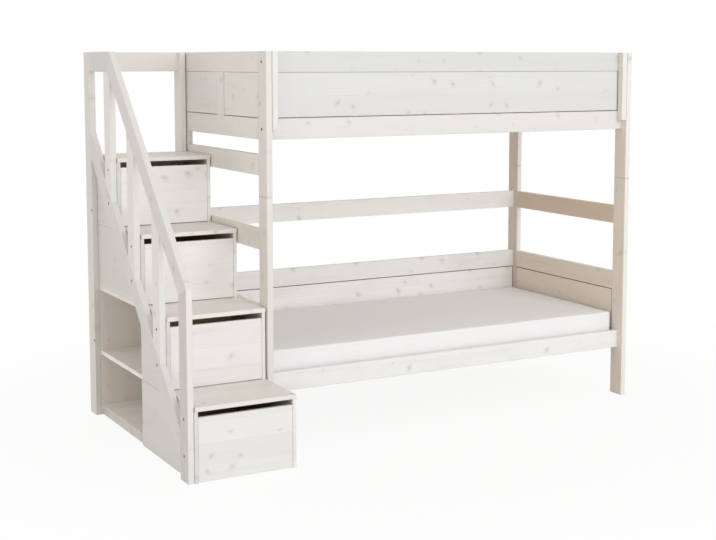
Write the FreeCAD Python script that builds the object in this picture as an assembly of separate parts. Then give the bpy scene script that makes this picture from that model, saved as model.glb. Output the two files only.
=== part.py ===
import FreeCAD, Part
import math
import os

# Bunk bed of planed, whitewashed pine with a drawer staircase on its left end.
# Lengths are millimetres. The pieces are laid out from the front left corner of the bed
# on the floor: X runs along the bed, Y from front to back and Z upwards.

# Mattresses, which set the length and width of the bed
mattress_length = 2000.0
mattress_width = 900.0
mattress_thickness = 140.0
mattress_end_play = 6.5
mattress_side_play = 8.5

# Posts and rails, all cut from one board thickness
board_thickness = 28.5
post_width = 88.0
rail_height = 94.0
edge_radius = 3.0

# Heights of the bed, stacked from the floor upwards
lower_clear_height = 251.0
lower_rail_height = 89.0
lower_field_height = 215.0
guard_gap = 255.0
post_joint_rise = 148.0
upper_clear_height = 255.5
upper_field_height = 204.5

# Side rails stand back from the posts' outer edges
front_set_back = 37.0
rear_set_back = 24.0

# Panels in grooves, with an open shadow gap below those of the upper bed
panel_thickness = 12.0
tongue_thickness = 6.0
tongue_depth = 8.0
shadow_gap = 4.0
close_gap = 1.5
upper_panel_recess = 1.0

# Joints in the wood
tenon_thickness = 10.0
tenon_length = 30.0
tenon_shoulder = 14.0
short_tenon_length = 15.0
joint_play = 0.3
dowel_diameter = 10.0
dowel_length = 50.0
post_dowel_spacing = 44.0
post_line_depth = 1.0
post_line_height = 1.6
guard_pin_diameter = 6.0
guard_pin_length = 30.0
guard_pin_share = 0.29

# Battens that cover the ends of the front guard
batten_width = 30.0
batten_dowel_inset = 70.0

# Slatted bases
ledger_width = 25.0
ledger_height = 28.0
slat_seat_rise = 30.0
slat_count = 14
slat_width = 75.0
slat_thickness = 20.0
slat_end_gap = 18.0
slat_side_play = 2.0

# Form of the mattresses
mattress_corner_radius = 40.0
mattress_side_draw = 3.0
mattress_edge_inset = 10.0
mattress_crown_inset = 110.0
mattress_lift = 0.3
mattress_height_shares = (0.0, 0.1, 0.5, 0.86, 0.95, 1.0)
mattress_inset_shares = (1.0, 0.1, 0.35, 0.0, 1.0)

# Bolts and barrel nuts that hold the side rails
bolt_diameter = 6.0
bolt_head_diameter = 14.0
bolt_head_height = 4.0
bolt_head_recess = 5.0
bolt_play = 0.4
key_sides = 6
key_width = 6.0
key_depth = 2.5
nut_diameter = 10.0
nut_length = 16.0
nut_distance = 36.0
bolt_past_nut = 8.0

# Staircase
stair_gap = 6.0
stair_width = 468.0
stair_projection = 299.5
step_count = 4
top_tread_drop = 103.5
step_rail_drop = 58.0
tread_thickness = 20.0
tread_nosing = 3.0
tread_end_gap = 3.0
tread_edge_radius = 4.0
side_thickness = 16.0
side_edge_radius = 1.5
back_thickness = 16.0
bookcase_offset = 22.0
bookcase_floor = 50.0
bookcase_board_thickness = 16.0
shelf_inset = 5.0
plinth_recess = 10.0
base_thickness = 16.0
stair_rail_set_back = 30.0

# Banister
baluster_offset = 10.0
stringer_drop = 215.0
upper_bolt_drop = 57.0
lower_bolt_drop = 215.0
banister_bolt_depth = 12.0
back_bolt_rise = 51.0
back_bolt_depth = 40.0

# Bolts, spacers and sleeve nuts that join the staircase to the bed
spacer_diameter = 22.0
sleeve_nut_diameter = 10.0
sleeve_nut_length = 20.0

# Drawers under the treads
finger_gap = 25.0
front_thickness = 18.0
front_inset = 2.0
front_side_play = 1.0
front_floor_gap = 3.0
front_edge_radius = 2.0
box_side_play = 4.0
box_rear_play = 8.0
box_wall = 12.0
box_bottom_thickness = 6.0
box_top_drop = 30.0
slide_gap = 0.3

# One overrun serves all cuts, and a direction counts as parallel above this share
cut_overrun = 1.0
parallel_share = 0.999

Vector = FreeCAD.Vector
ALONG_X = Vector(1, 0, 0)
ALONG_Y = Vector(0, 1, 0)
ALONG_Z = Vector(0, 0, 1)
pieces = {}


def block(x, y, z):
    """A plain box between pairs of coordinates."""
    return Part.makeBox(x[1] - x[0], y[1] - y[0], z[1] - z[0], Vector(x[0], y[0], z[0]))


def rounded(solid, direction, radius=edge_radius):
    """The solid with its straight edges along a direction rounded."""
    edges = []
    for edge in solid.Edges:
        ends = edge.Vertexes[-1].Point - edge.Vertexes[0].Point
        if abs(ends.normalize().dot(direction)) > parallel_share:
            edges.append(edge)
    return solid.makeFillet(radius, edges)


def rod(centre, direction, diameter, length):
    """A cylinder that starts at a point and runs along a direction."""
    return Part.makeCylinder(diameter / 2, length, centre, direction)


def side_outline(points, x):
    """A board cut to an outline in the Y and Z plane."""
    corners = [Vector(x[0], y, z) for y, z in points]
    wire = Part.makePolygon(corners + corners[:1])
    return Part.Face(wire).extrude(Vector(x[1] - x[0], 0, 0))


def mirrored_x(solid):
    """The same piece at the other end of the bed."""
    return solid.mirror(Vector(bed_length / 2, 0, 0), ALONG_X)


def cut_all(solid, tools):
    """The solid with each tool taken out."""
    for tool in tools:
        solid = solid.cut(tool)
    return solid


def span(bottom, height=rail_height):
    """Lower and upper height of a rail."""
    return (bottom, bottom + height)


# Outer sizes of the bed
bed_length = mattress_length + (mattress_end_play + board_thickness) * 2
bed_width = mattress_width + (mattress_side_play + board_thickness) * 2 + front_set_back + rear_set_back

# Planes that the pieces share
end_x = (0, board_thickness)
middle_x = board_thickness / 2
inner_x = (board_thickness, bed_length - board_thickness)
post_y = (0, post_width)
inner_y = (post_width, bed_width - post_width)
front_rail_y = (front_set_back, front_set_back + board_thickness)
rear_rail_y = (bed_width - rear_set_back - board_thickness, bed_width - rear_set_back)
lower_rail_z = span(lower_clear_height, lower_rail_height)
panel_rail_z = span(lower_rail_z[1] + lower_field_height)
guard_rail_z = span(panel_rail_z[1] + guard_gap)
post_joint_height = guard_rail_z[1] + post_joint_rise
upper_rail_z = span(post_joint_height + upper_clear_height)
top_rail_z = span(upper_rail_z[1] + upper_field_height)
bed_height = top_rail_z[1]
top_tread_height = upper_rail_z[0] - top_tread_drop
step_rail_z = span(top_tread_height - step_rail_drop)
dowel_bore = dowel_diameter + joint_play
dowel_bore_depth = dowel_length / 2 + joint_play
dowels = []


# Dowels: one size holds the post joints, the battens and the banister
def dowel(middle, direction):
    """Adds a dowel centred on a joint and gives the bore for it."""
    start = middle - direction * (dowel_length / 2)
    dowels.append(rod(start, direction, dowel_diameter, dowel_length))
    bore_start = middle - direction * dowel_bore_depth
    return rod(bore_start, direction, dowel_bore, dowel_bore_depth * 2)


# Rail bolts: a bolt with a recessed socket head runs through the post into a barrel nut
def bolt(head_point, direction, length):
    """A socket head bolt whose head lies in a recess below the point."""
    head_base = head_point + direction * bolt_head_recess
    head = rod(head_base, direction * -1, bolt_head_diameter, bolt_head_height)
    shank = rod(head_base, direction, bolt_diameter, length - bolt_head_recess)
    key_top = head_base - direction * bolt_head_height
    corner = Vector(0, 0, key_width / 2 / math.cos(math.pi / key_sides))
    corners = []
    for side in range(key_sides):
        turn = FreeCAD.Rotation(direction, side * 360 / key_sides)
        corners.append(key_top + turn.multVec(corner))
    key = Part.Face(Part.makePolygon(corners + corners[:1])).extrude(direction * key_depth)
    return head.fuse(shank).removeSplitter().cut(key)


def bolt_bore(head_point, direction, length):
    """The stepped hole that a bolt needs."""
    start = head_point - direction * cut_overrun
    recess = rod(start, direction, bolt_head_diameter + bolt_play, bolt_head_recess + cut_overrun)
    hole = rod(head_point, direction, bolt_diameter + bolt_play, length + joint_play)
    return recess.fuse(hole)


rail_bolts = []
barrel_nuts = []
rail_bolt_length = board_thickness + nut_distance + bolt_past_nut


def rail_bolt_cuts(rail_y, rail_z, nut_side):
    """Bolts both ends of a side rail and gives the holes that posts and rail need."""
    middle_y = sum(rail_y) / 2
    middle_z = sum(rail_z) / 2
    cuts = []
    nut_face = rail_y[1] if nut_side > 0 else rail_y[0]
    for x, direction in ((0, ALONG_X), (bed_length, ALONG_X * -1)):
        head_point = Vector(x, middle_y, middle_z)
        hole = bolt_bore(head_point, direction, rail_bolt_length)
        nut_x = x + direction.x * (board_thickness + nut_distance)
        nut_start = Vector(nut_x, middle_y - nut_side * nut_length / 2, middle_z)
        nut_hole_start = nut_start - ALONG_Y * (nut_side * joint_play)
        nut_hole_depth = abs(nut_face - nut_hole_start.y) + cut_overrun
        nut_direction = ALONG_Y * nut_side
        rail_bolts.append(bolt(head_point, direction, rail_bolt_length))
        barrel_nuts.append(rod(nut_start, nut_direction, nut_diameter, nut_length).cut(hole))
        nut_bore = nut_diameter + joint_play
        cuts.append(hole)
        cuts.append(rod(nut_hole_start, nut_direction, nut_bore, nut_hole_depth))
    return cuts


# Panels lie in grooves: the tongue is a share of the panel, the face keeps a gap all round.
# A panel with an open foot has no tongue below, so that its lower gap goes right through.
def panel_parts(thick, tongue, wide, z, side_tongue, open_foot):
    """Spans of a panel's face and tongue in thickness, width and height."""
    side = tongue_depth if side_tongue else -shadow_gap
    gap = close_gap if open_foot else shadow_gap
    face_wide = (wide[0] + gap, wide[1] - gap)
    face = (thick, face_wide, (z[0] + shadow_gap, z[1] - gap))
    foot = z[0] + shadow_gap if open_foot else z[0] - tongue_depth
    tongue_wide = (wide[0] - side, wide[1] + side)
    return face, (tongue, tongue_wide, (foot, z[1] + tongue_depth))


def grown(pair):
    """A span with the joint's play at both ends."""
    return (pair[0] - joint_play, pair[1] + joint_play)


def end_panel(thick, tongue, y, z, open_foot):
    """A panel in an end frame and the groove that its frame needs."""
    face, edge = panel_parts(thick, tongue, y, z, True, open_foot)
    return block(*face).fuse(block(*edge)).removeSplitter(), block(*[grown(pair) for pair in edge])


def side_panel(thick, tongue, x, z):
    """A panel between side rails and the groove that the rails need."""
    face, edge = panel_parts(thick, tongue, x, z, False, False)
    solid = block(face[1], face[0], face[2]).fuse(block(edge[1], edge[0], edge[2]))
    return solid.removeSplitter(), block(x, grown(edge[0]), grown(edge[2]))


lower_panel_x = (board_thickness - panel_thickness, board_thickness)
lower_tongue_x = (lower_panel_x[0], lower_panel_x[0] + tongue_thickness)
upper_panel_x = (upper_panel_recess, upper_panel_recess + panel_thickness)
upper_tongue_x = (upper_panel_x[1] - tongue_thickness, upper_panel_x[1])
stile_y = ((bed_width - post_width) / 2, (bed_width + post_width) / 2)
lower_field_z = (lower_rail_z[1], panel_rail_z[0])
upper_field_z = (upper_rail_z[1], top_rail_z[0])
lower_end_panel, lower_groove = end_panel(lower_panel_x, lower_tongue_x, inner_y, lower_field_z, False)
front_half_y = (inner_y[0], stile_y[0])
rear_half_y = (stile_y[1], inner_y[1])
upper_layers_x = (upper_panel_x, upper_tongue_x)
upper_panel_front, upper_groove_front = end_panel(*upper_layers_x, front_half_y, upper_field_z, True)
upper_panel_rear, upper_groove_rear = end_panel(*upper_layers_x, rear_half_y, upper_field_z, True)
end_grooves = (lower_groove, upper_groove_front, upper_groove_rear)

front_panel_y = (front_rail_y[0], front_rail_y[0] + panel_thickness)
front_tongue_y = (front_panel_y[1] - tongue_thickness, front_panel_y[1])
rear_panel_y = (rear_rail_y[0], rear_rail_y[0] + panel_thickness)
rear_tongue_y = (rear_panel_y[1] - tongue_thickness, rear_panel_y[1])
cover_x = (inner_x[0] + batten_width + shadow_gap, inner_x[1] - batten_width - shadow_gap)
guard_face, guard_edge = panel_parts(front_panel_y, front_tongue_y, inner_x, upper_field_z, False, True)
guard_cover = block(cover_x, guard_face[0], guard_face[2])
guard_tongue = block(guard_edge[1], guard_edge[0], guard_edge[2])
front_panel = guard_cover.fuse(guard_tongue).removeSplitter()
front_groove = block(inner_x, grown(guard_edge[0]), grown(guard_edge[2]))
upper_rear_panel, upper_rear_groove = side_panel(rear_panel_y, rear_tongue_y, inner_x, upper_field_z)
rear_panel, rear_groove = side_panel(rear_panel_y, rear_tongue_y, inner_x, lower_field_z)

# Pins hold the guard's panel above the bottom rail
guard_pin_bores = []
for place in (-1, 0, 1):
    pin_x = bed_length / 2 + place * guard_pin_share * (cover_x[1] - cover_x[0])
    pin_foot = Vector(pin_x, sum(front_panel_y) / 2, upper_field_z[0] + (shadow_gap - guard_pin_length) / 2)
    dowels.append(rod(pin_foot, ALONG_Z, guard_pin_diameter, guard_pin_length))
    bore_foot = pin_foot - ALONG_Z * joint_play
    bore_length = guard_pin_length + joint_play * 2
    guard_pin_bores.append(rod(bore_foot, ALONG_Z, guard_pin_diameter + joint_play, bore_length))
front_panel = cut_all(front_panel, guard_pin_bores)

pieces["lower_end_panels"] = [lower_end_panel, mirrored_x(lower_end_panel)]
pieces["upper_end_panels"] = [upper_panel_front, upper_panel_rear]
pieces["upper_end_panels"] += [mirrored_x(upper_panel_front), mirrored_x(upper_panel_rear)]
pieces["upper_front_panel"] = [front_panel]
pieces["upper_rear_panel"] = [upper_rear_panel]
pieces["rear_panel"] = [rear_panel]


# End frames: rails have a tenon at each end, in a mortise in the posts' inner edges
tenon_x = (middle_x - tenon_thickness / 2, middle_x + tenon_thickness / 2)


def tenon(rail_z, length):
    """The bar that makes both tenons of an end rail."""
    y = (inner_y[0] - length, inner_y[1] + length)
    return block(tenon_x, y, (rail_z[0] + tenon_shoulder, rail_z[1] - tenon_shoulder))


def mortise(rail_z):
    """The pocket for both tenons of an end rail."""
    y = (inner_y[0] - tenon_length - joint_play, inner_y[1] + tenon_length + joint_play)
    z = (rail_z[0] + tenon_shoulder - joint_play, rail_z[1] - tenon_shoulder + joint_play)
    return block(grown(tenon_x), y, z)


def end_rail(rail_z):
    """A rail of an end frame with its tenons and panel grooves."""
    rail = rounded(block(end_x, inner_y, rail_z), ALONG_Y)
    return cut_all(rail.fuse(tenon(rail_z, tenon_length)), end_grooves)


def both_ends(solid):
    """The piece at the left and the right end of the bed."""
    return [solid, mirrored_x(solid)]


stile_z = upper_field_z
stile_tenon_y = (stile_y[0] + tenon_shoulder, stile_y[1] - tenon_shoulder)
stile_tenon_z = (stile_z[0] - tenon_length, stile_z[1] + tenon_length)
stile_tenon = block(tenon_x, stile_tenon_y, stile_tenon_z)
stile_mortise = block(grown(tenon_x), grown(stile_tenon_y), grown(stile_tenon_z))
stile = rounded(block(end_x, stile_y, stile_z), ALONG_Z).fuse(stile_tenon)

pieces["lower_end_bottom_rails"] = both_ends(end_rail(lower_rail_z))
pieces["lower_end_panel_rails"] = both_ends(end_rail(panel_rail_z))
pieces["lower_end_guard_rails"] = both_ends(end_rail(guard_rail_z))
pieces["upper_end_bottom_rails"] = both_ends(end_rail(upper_rail_z).cut(stile_mortise))
pieces["upper_end_top_rails"] = both_ends(end_rail(top_rail_z).cut(stile_mortise))
pieces["upper_end_stiles"] = both_ends(cut_all(stile, end_grooves))
pieces["step_rail"] = [end_rail(step_rail_z)]


# Side rails: boards between the ends, bolted through the posts at mid-height
def side_rail(rail_y, rail_z, nut_side, groove=None):
    """A side rail with its holes, and those holes for the posts."""
    cuts = rail_bolt_cuts(rail_y, rail_z, nut_side)
    rail = cut_all(rounded(block(inner_x, rail_y, rail_z), ALONG_X), cuts)
    return rail.cut(groove) if groove else rail, cuts


side_rails = {
    "lower_front_rail": (front_rail_y, lower_rail_z, 1, None),
    "upper_front_bottom_rail": (front_rail_y, upper_rail_z, 1, None),
    "upper_front_top_rail": (front_rail_y, top_rail_z, 1, front_groove),
    "rear_bottom_rail": (rear_rail_y, lower_rail_z, 1, rear_groove),
    "rear_panel_rail": (rear_rail_y, panel_rail_z, 1, rear_groove),
    "rear_guard_rail": (rear_rail_y, guard_rail_z, 1, None),
    "upper_rear_bottom_rail": (rear_rail_y, upper_rail_z, 1, upper_rear_groove),
    "upper_rear_top_rail": (rear_rail_y, top_rail_z, 1, upper_rear_groove),
}
post_cuts = []
for name, (rail_y, rail_z, nut_side, groove) in side_rails.items():
    rail, cuts = side_rail(rail_y, rail_z, nut_side, groove)
    pieces[name] = [rail]
    post_cuts += cuts
guard_bottom_rail = pieces["upper_front_bottom_rail"][0]
pieces["upper_front_bottom_rail"] = [cut_all(guard_bottom_rail, guard_pin_bores)]

# Battens: upright strips in front of the guard's ends, dowelled to the posts
batten_y = (0, front_set_back)
batten_z = (sum(upper_rail_z) / 2, bed_height)
batten = rounded(block((board_thickness, board_thickness + batten_width), batten_y, batten_z), ALONG_Z)
battens = both_ends(batten)
batten_dowel_y = front_set_back / 2
for z in (batten_z[0] + batten_dowel_inset, batten_z[1] - batten_dowel_inset):
    for x in inner_x:
        bore = dowel(Vector(x, batten_dowel_y, z), ALONG_X)
        post_cuts.append(bore)
        battens = [strip.cut(bore) for strip in battens]
pieces["front_battens"] = battens

# Joining bolts: they hold the staircase's rear post to the bed, with spacers in the gap and
# sleeve nuts sunk into the post
stair_right = -stair_gap
stair_left = stair_right - stair_width
stair_post_x = (stair_right - board_thickness, stair_right)
rear_post_y = (bed_width - post_width, bed_width)
joining_y = sum(rear_post_y) / 2
joining_length = board_thickness + stair_gap + sleeve_nut_length
joining_hardware = []
joining_cuts = []
sleeve_cuts = []
for field_z in (lower_field_z, (panel_rail_z[1], guard_rail_z[0]), upper_field_z):
    z = sum(field_z) / 2
    head_point = Vector(board_thickness, joining_y, z)
    hole = bolt_bore(head_point, ALONG_X * -1, joining_length)
    spacer = rod(Vector(stair_right, joining_y, z), ALONG_X, spacer_diameter, stair_gap)
    nut_face = Vector(stair_right, joining_y, z)
    nut = rod(nut_face, ALONG_X * -1, sleeve_nut_diameter, sleeve_nut_length)
    sleeve_bore = sleeve_nut_diameter + joint_play
    sleeve_cuts.append(rod(nut_face, ALONG_X * -1, sleeve_bore, sleeve_nut_length + joint_play))
    joining_hardware.append(bolt(head_point, ALONG_X * -1, joining_length))
    joining_hardware += [spacer.cut(hole), nut.cut(hole)]
    joining_cuts.append(hole)
pieces["joining_hardware"] = joining_hardware

# Posts: planks in two lengths that stand on each other with two dowels and a fine line round the joint
lower_post_z = (0, post_joint_height)
upper_post_z = (post_joint_height, bed_height)
post_places = {
    "front_left": (end_x, post_y),
    "front_right": ((bed_length - board_thickness, bed_length), post_y),
    "rear_left": (end_x, rear_post_y),
    "rear_right": ((bed_length - board_thickness, bed_length), rear_post_y),
}
shared_rails_z = (lower_rail_z, panel_rail_z, guard_rail_z, upper_rail_z, top_rail_z)
left_cuts = [mortise(rail_z) for rail_z in shared_rails_z] + list(end_grooves)
right_cuts = [mirrored_x(tool) for tool in left_cuts]
left_cuts.append(mortise(step_rail_z))
left_cuts += joining_cuts
for place, (x, y) in post_places.items():
    cuts = left_cuts if x == end_x else right_cuts
    joint_bores = []
    for side in (-1, 1):
        middle = Vector(sum(x) / 2, sum(y) / 2 + side * post_dowel_spacing / 2, post_joint_height)
        joint_bores.append(dowel(middle, ALONG_Z))
    line_z = (post_joint_height - post_line_height / 2, post_joint_height + post_line_height / 2)
    core_x = (x[0] + post_line_depth, x[1] - post_line_depth)
    core_y = (y[0] + post_line_depth, y[1] - post_line_depth)
    outside_x = (x[0] - cut_overrun, x[1] + cut_overrun)
    outside_y = (y[0] - cut_overrun, y[1] + cut_overrun)
    joint_line = block(outside_x, outside_y, line_z).cut(block(core_x, core_y, line_z))
    for level, z in (("lower", lower_post_z), ("upper", upper_post_z)):
        post = rounded(block(x, y, z), ALONG_Z).cut(joint_line)
        pieces[level + "_post_" + place] = [cut_all(post, cuts + post_cuts + joint_bores)]

# Slatted bases: ledgers along the side rails carry loose slats
slat_y = (front_rail_y[1] + slat_side_play, rear_rail_y[0] - slat_side_play)
slat_run = inner_x[1] - inner_x[0] - slat_end_gap * 2 - slat_width
ledgers = []
front_ledger_y = (front_rail_y[1], front_rail_y[1] + ledger_width)
rear_ledger_y = (rear_rail_y[0] - ledger_width, rear_rail_y[0])
for level, rail_z in (("lower", lower_rail_z), ("upper", upper_rail_z)):
    seat = rail_z[0] + slat_seat_rise
    for y in (front_ledger_y, rear_ledger_y):
        ledgers.append(block(inner_x, y, (seat - ledger_height, seat)))
    slats = []
    for place in range(slat_count):
        x = inner_x[0] + slat_end_gap + slat_run * place / (slat_count - 1)
        slats.append(block((x, x + slat_width), slat_y, (seat, seat + slat_thickness)))
    pieces[level + "_slats"] = slats
pieces["ledgers"] = ledgers


# Mattresses: a quilted block with drawn-in sides, soft edges and a crowned top
def mattress_outline(inset, z):
    """One level of the mattress: sides drawn in between round corners."""
    half_x = mattress_length / 2 - inset
    half_y = mattress_width / 2 - inset
    radius = mattress_corner_radius
    reach = radius * (1 - math.sqrt(0.5))
    edges = []
    for turn in range(4):
        a, b = (half_x, half_y) if turn % 2 == 0 else (half_y, half_x)
        corner_start = Vector(a, b - radius, z)
        corner_middle = Vector(a - reach, b - reach, z)
        corner_end = Vector(a - radius, b, z)
        side_middle = Vector(0, b - mattress_side_draw, z)
        side_end = Vector(radius - a, b, z)
        quarter = FreeCAD.Rotation(ALONG_Z, 90 * turn)
        corner = [quarter.multVec(point) for point in (corner_start, corner_middle, corner_end)]
        side = [quarter.multVec(point) for point in (corner_end, side_middle, side_end)]
        edges.append(Part.Arc(*corner).toShape())
        edges.append(Part.Arc(*side).toShape())
    return Part.Wire(edges)


def mattress(bottom):
    """A mattress that lies on slats at a height."""
    insets = [share * mattress_edge_inset for share in mattress_inset_shares] + [mattress_crown_inset]
    heights = [share * mattress_thickness for share in mattress_height_shares]
    wires = [mattress_outline(inset, height) for inset, height in zip(insets, heights)]
    solid = Part.makeLoft(wires, True, True)
    middle_y = (front_rail_y[1] + rear_rail_y[0]) / 2
    solid.translate(Vector(bed_length / 2, middle_y, bottom + mattress_lift))
    return solid


slat_top_rise = slat_seat_rise + slat_thickness
pieces["lower_mattress"] = [mattress(lower_rail_z[0] + slat_top_rise)]
pieces["upper_mattress"] = [mattress(upper_rail_z[0] + slat_top_rise)]


# Staircase carcass: treads lie on the side panels, level by level
carcass_rear = bed_width - post_width
step_rise = top_tread_height / step_count
step_run = (carcass_rear + stair_projection) / step_count


def level_top(step):
    """Height of a tread's upper face, with the floor as step zero."""
    return step * step_rise


def tread_front(step):
    """Front edge of a tread."""
    return -stair_projection + (step - 1) * step_run


def level_z(step):
    """Clear height between two treads."""
    return (level_top(step - 1), level_top(step) - tread_thickness)


stair_inner_x = (stair_left + side_thickness, stair_right - side_thickness)
bookcase_front = tread_front(3) + bookcase_offset
partition_y = (bookcase_front - side_thickness, bookcase_front)
steps = range(1, step_count + 1)
treads = []
left_sides = {}
right_sides = []
partitions = []
for step in steps:
    front = tread_front(step)
    tread_rear = bookcase_front if step == 1 else carcass_rear
    tread_z = (level_top(step) - tread_thickness, level_top(step))
    tread = block((stair_left + tread_end_gap, stair_right), (front, tread_rear), tread_z)
    treads.append(rounded(tread, ALONG_X, tread_edge_radius))
    left_rear = bookcase_front if step < 3 else carcass_rear
    panel_front = front + tread_nosing
    left_side = block((stair_left, stair_inner_x[0]), (panel_front, left_rear), level_z(step))
    right_side = block((stair_inner_x[1], stair_right), (panel_front, carcass_rear), level_z(step))
    left_sides[step] = rounded(left_side, ALONG_Z, side_edge_radius)
    right_sides.append(rounded(right_side, ALONG_Z, side_edge_radius))
    if step < 3:
        partitions.append(block(stair_inner_x, partition_y, level_z(step)))
pieces["treads"] = treads
pieces["right_side_panels"] = right_sides

# Bookcase behind the lower drawers, open to the left: shelf, floor, plinth and base
bookcase_y = (bookcase_front, carcass_rear)
shelf_z = (level_top(1) - tread_thickness, level_top(1))
floor_z = (bookcase_floor - bookcase_board_thickness, bookcase_floor)
plinth_left = stair_left + plinth_recess
shelf = block((stair_left + shelf_inset, stair_right), bookcase_y, shelf_z)
floor_board = block((stair_left + shelf_inset, stair_inner_x[1]), bookcase_y, floor_z)
plinth = block((plinth_left, plinth_left + bookcase_board_thickness), bookcase_y, (0, floor_z[0]))
front_rear_y = tread_front(1) + tread_nosing + front_inset + front_thickness
base_board = block(stair_inner_x, (front_rear_y + front_inset, partition_y[0]), (0, base_thickness))
pieces["bookcase_boards"] = partitions + [shelf, floor_board, plinth, base_board]

# Rear posts of the staircase, its back panel between them and the rail at the top
banister_x = (stair_left - board_thickness, stair_left)
banister_middle_x = sum(banister_x) / 2
back_y = (carcass_rear, carcass_rear + back_thickness)
back_x = (stair_left, stair_post_x[0])
back_panel = block(back_x, back_y, (0, level_top(step_count)))
stair_rail_y = (carcass_rear + stair_rail_set_back, carcass_rear + stair_rail_set_back + board_thickness)
stair_rail_middle_y = sum(stair_rail_y) / 2
stub_y = (stair_rail_middle_y - tenon_thickness / 2, stair_rail_middle_y + tenon_thickness / 2)
stub_x = (back_x[0] - short_tenon_length, back_x[1] + short_tenon_length)
stub_z = (top_rail_z[0] + tenon_shoulder, top_rail_z[1] - tenon_shoulder)
stair_rail = rounded(block(back_x, stair_rail_y, top_rail_z), ALONG_X)
stair_rail = stair_rail.fuse(block(stub_x, stub_y, stub_z))
stub_mortise = block(grown(stub_x), grown(stub_y), grown(stub_z))
stair_post_left = rounded(block(banister_x, rear_post_y, (0, bed_height)), ALONG_Z).cut(stub_mortise)
stair_post_right = rounded(block(stair_post_x, rear_post_y, (0, bed_height)), ALONG_Z).cut(stub_mortise)
stair_post_right = cut_all(stair_post_right, joining_cuts + sleeve_cuts)
back_bolt_y = sum(back_y) / 2
back_bolt_length = board_thickness + back_bolt_depth
stair_bolts = []
for step in (1, 3):
    z = level_top(step) + back_bolt_rise
    for x, direction in ((banister_x[0], ALONG_X), (stair_right, ALONG_X * -1)):
        head_point = Vector(x, back_bolt_y, z)
        hole = bolt_bore(head_point, direction, back_bolt_length)
        stair_bolts.append(bolt(head_point, direction, back_bolt_length))
        back_panel = back_panel.cut(hole)
        stair_post_left = stair_post_left.cut(hole)
        stair_post_right = stair_post_right.cut(hole)
pieces["stair_rear_rail"] = [stair_rail]
pieces["stair_post_right"] = [stair_post_right]
pieces["stair_back_panel"] = [back_panel]

# Banister: planks in one plane, butted and mitred, with the slope of the stairs
slope = step_rise / step_run
slope_direction = Vector(0, step_run, step_rise).normalize()
plank_drop = post_width / slope_direction.y
front_post_y = (tread_front(1) + baluster_offset, tread_front(1) + baluster_offset + post_width)
last_front = tread_front(step_count) + baluster_offset


def handrail_upper(y):
    """Upper edge of the handrail, which meets the top of the bed at the last baluster."""
    return bed_height - slope * (last_front - y)


def handrail_lower(y):
    """Lower edge of the handrail."""
    return handrail_upper(y) - plank_drop


def stringer_upper(y):
    """Upper edge of the stringer, below the line of the treads' front edges."""
    return level_top(1) + slope * (y - tread_front(1)) - stringer_drop


def stringer_lower(y):
    """Lower edge of the stringer."""
    return stringer_upper(y) - plank_drop


mitre_y = last_front + (top_rail_z[0] - handrail_lower(last_front)) / slope
handrail_points = [(front_post_y[0], handrail_upper(front_post_y[0])), (last_front, bed_height)]
handrail_points += [(mitre_y, top_rail_z[0]), (front_post_y[1], handrail_lower(front_post_y[1]))]
top_rail_points = [(last_front, bed_height), (carcass_rear, bed_height)]
top_rail_points += [(carcass_rear, top_rail_z[0]), (mitre_y, top_rail_z[0])]
front_post_points = [(front_post_y[0], 0), (front_post_y[1], 0)]
front_post_points += [handrail_points[3], handrail_points[0]]
stringer_points = [(y, stringer_lower(y)) for y in (front_post_y[1], carcass_rear)]
stringer_points += [(y, stringer_upper(y)) for y in (carcass_rear, front_post_y[1])]
handrail = rounded(side_outline(handrail_points, banister_x), slope_direction)
top_rail = rounded(side_outline(top_rail_points, banister_x), ALONG_Y)
front_post = rounded(side_outline(front_post_points, banister_x), ALONG_Z)
stringer = rounded(side_outline(stringer_points, banister_x), slope_direction)
balusters = {}
for step in steps[1:]:
    front = tread_front(step) + baluster_offset
    rear = front + post_width
    points = [(front, stringer_upper(front)), (rear, stringer_upper(rear))]
    if step == step_count:
        points += [(rear, top_rail_z[0]), (mitre_y, top_rail_z[0]), (front, handrail_lower(front))]
    else:
        points += [(rear, handrail_lower(rear)), (front, handrail_lower(front))]
    balusters[step] = rounded(side_outline(points, banister_x), ALONG_Z)

# Dowels in the banister's butt joints
for step, baluster in balusters.items():
    middle_y = tread_front(step) + baluster_offset + post_width / 2
    head_z = top_rail_z[0] if step == step_count else handrail_lower(middle_y)
    foot_bore = dowel(Vector(banister_middle_x, middle_y, stringer_upper(middle_y)), ALONG_Z)
    head_bore = dowel(Vector(banister_middle_x, middle_y, head_z), ALONG_Z)
    balusters[step] = cut_all(baluster, (foot_bore, head_bore))
    stringer = stringer.cut(foot_bore)
    handrail = handrail.cut(head_bore)
    top_rail = top_rail.cut(head_bore)
front_post_middle_y = sum(front_post_y) / 2
mitre_z = (handrail_points[0][1] + handrail_points[3][1]) / 2
mitre_bore = dowel(Vector(banister_middle_x, front_post_middle_y, mitre_z), ALONG_Z)
handrail = handrail.cut(mitre_bore)
front_post = front_post.cut(mitre_bore)
for z in (sum(top_rail_z) / 2, stringer_upper(carcass_rear) - plank_drop / 2):
    bore = dowel(Vector(banister_middle_x, carcass_rear, z), ALONG_Y)
    stair_post_left = stair_post_left.cut(bore)
    top_rail = top_rail.cut(bore)
    stringer = stringer.cut(bore)
foot_z = stringer_upper(front_post_y[1]) - plank_drop / 2
foot_bore = dowel(Vector(banister_middle_x, front_post_y[1], foot_z), ALONG_Y)
front_post = front_post.cut(foot_bore)
stringer = stringer.cut(foot_bore)

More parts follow.
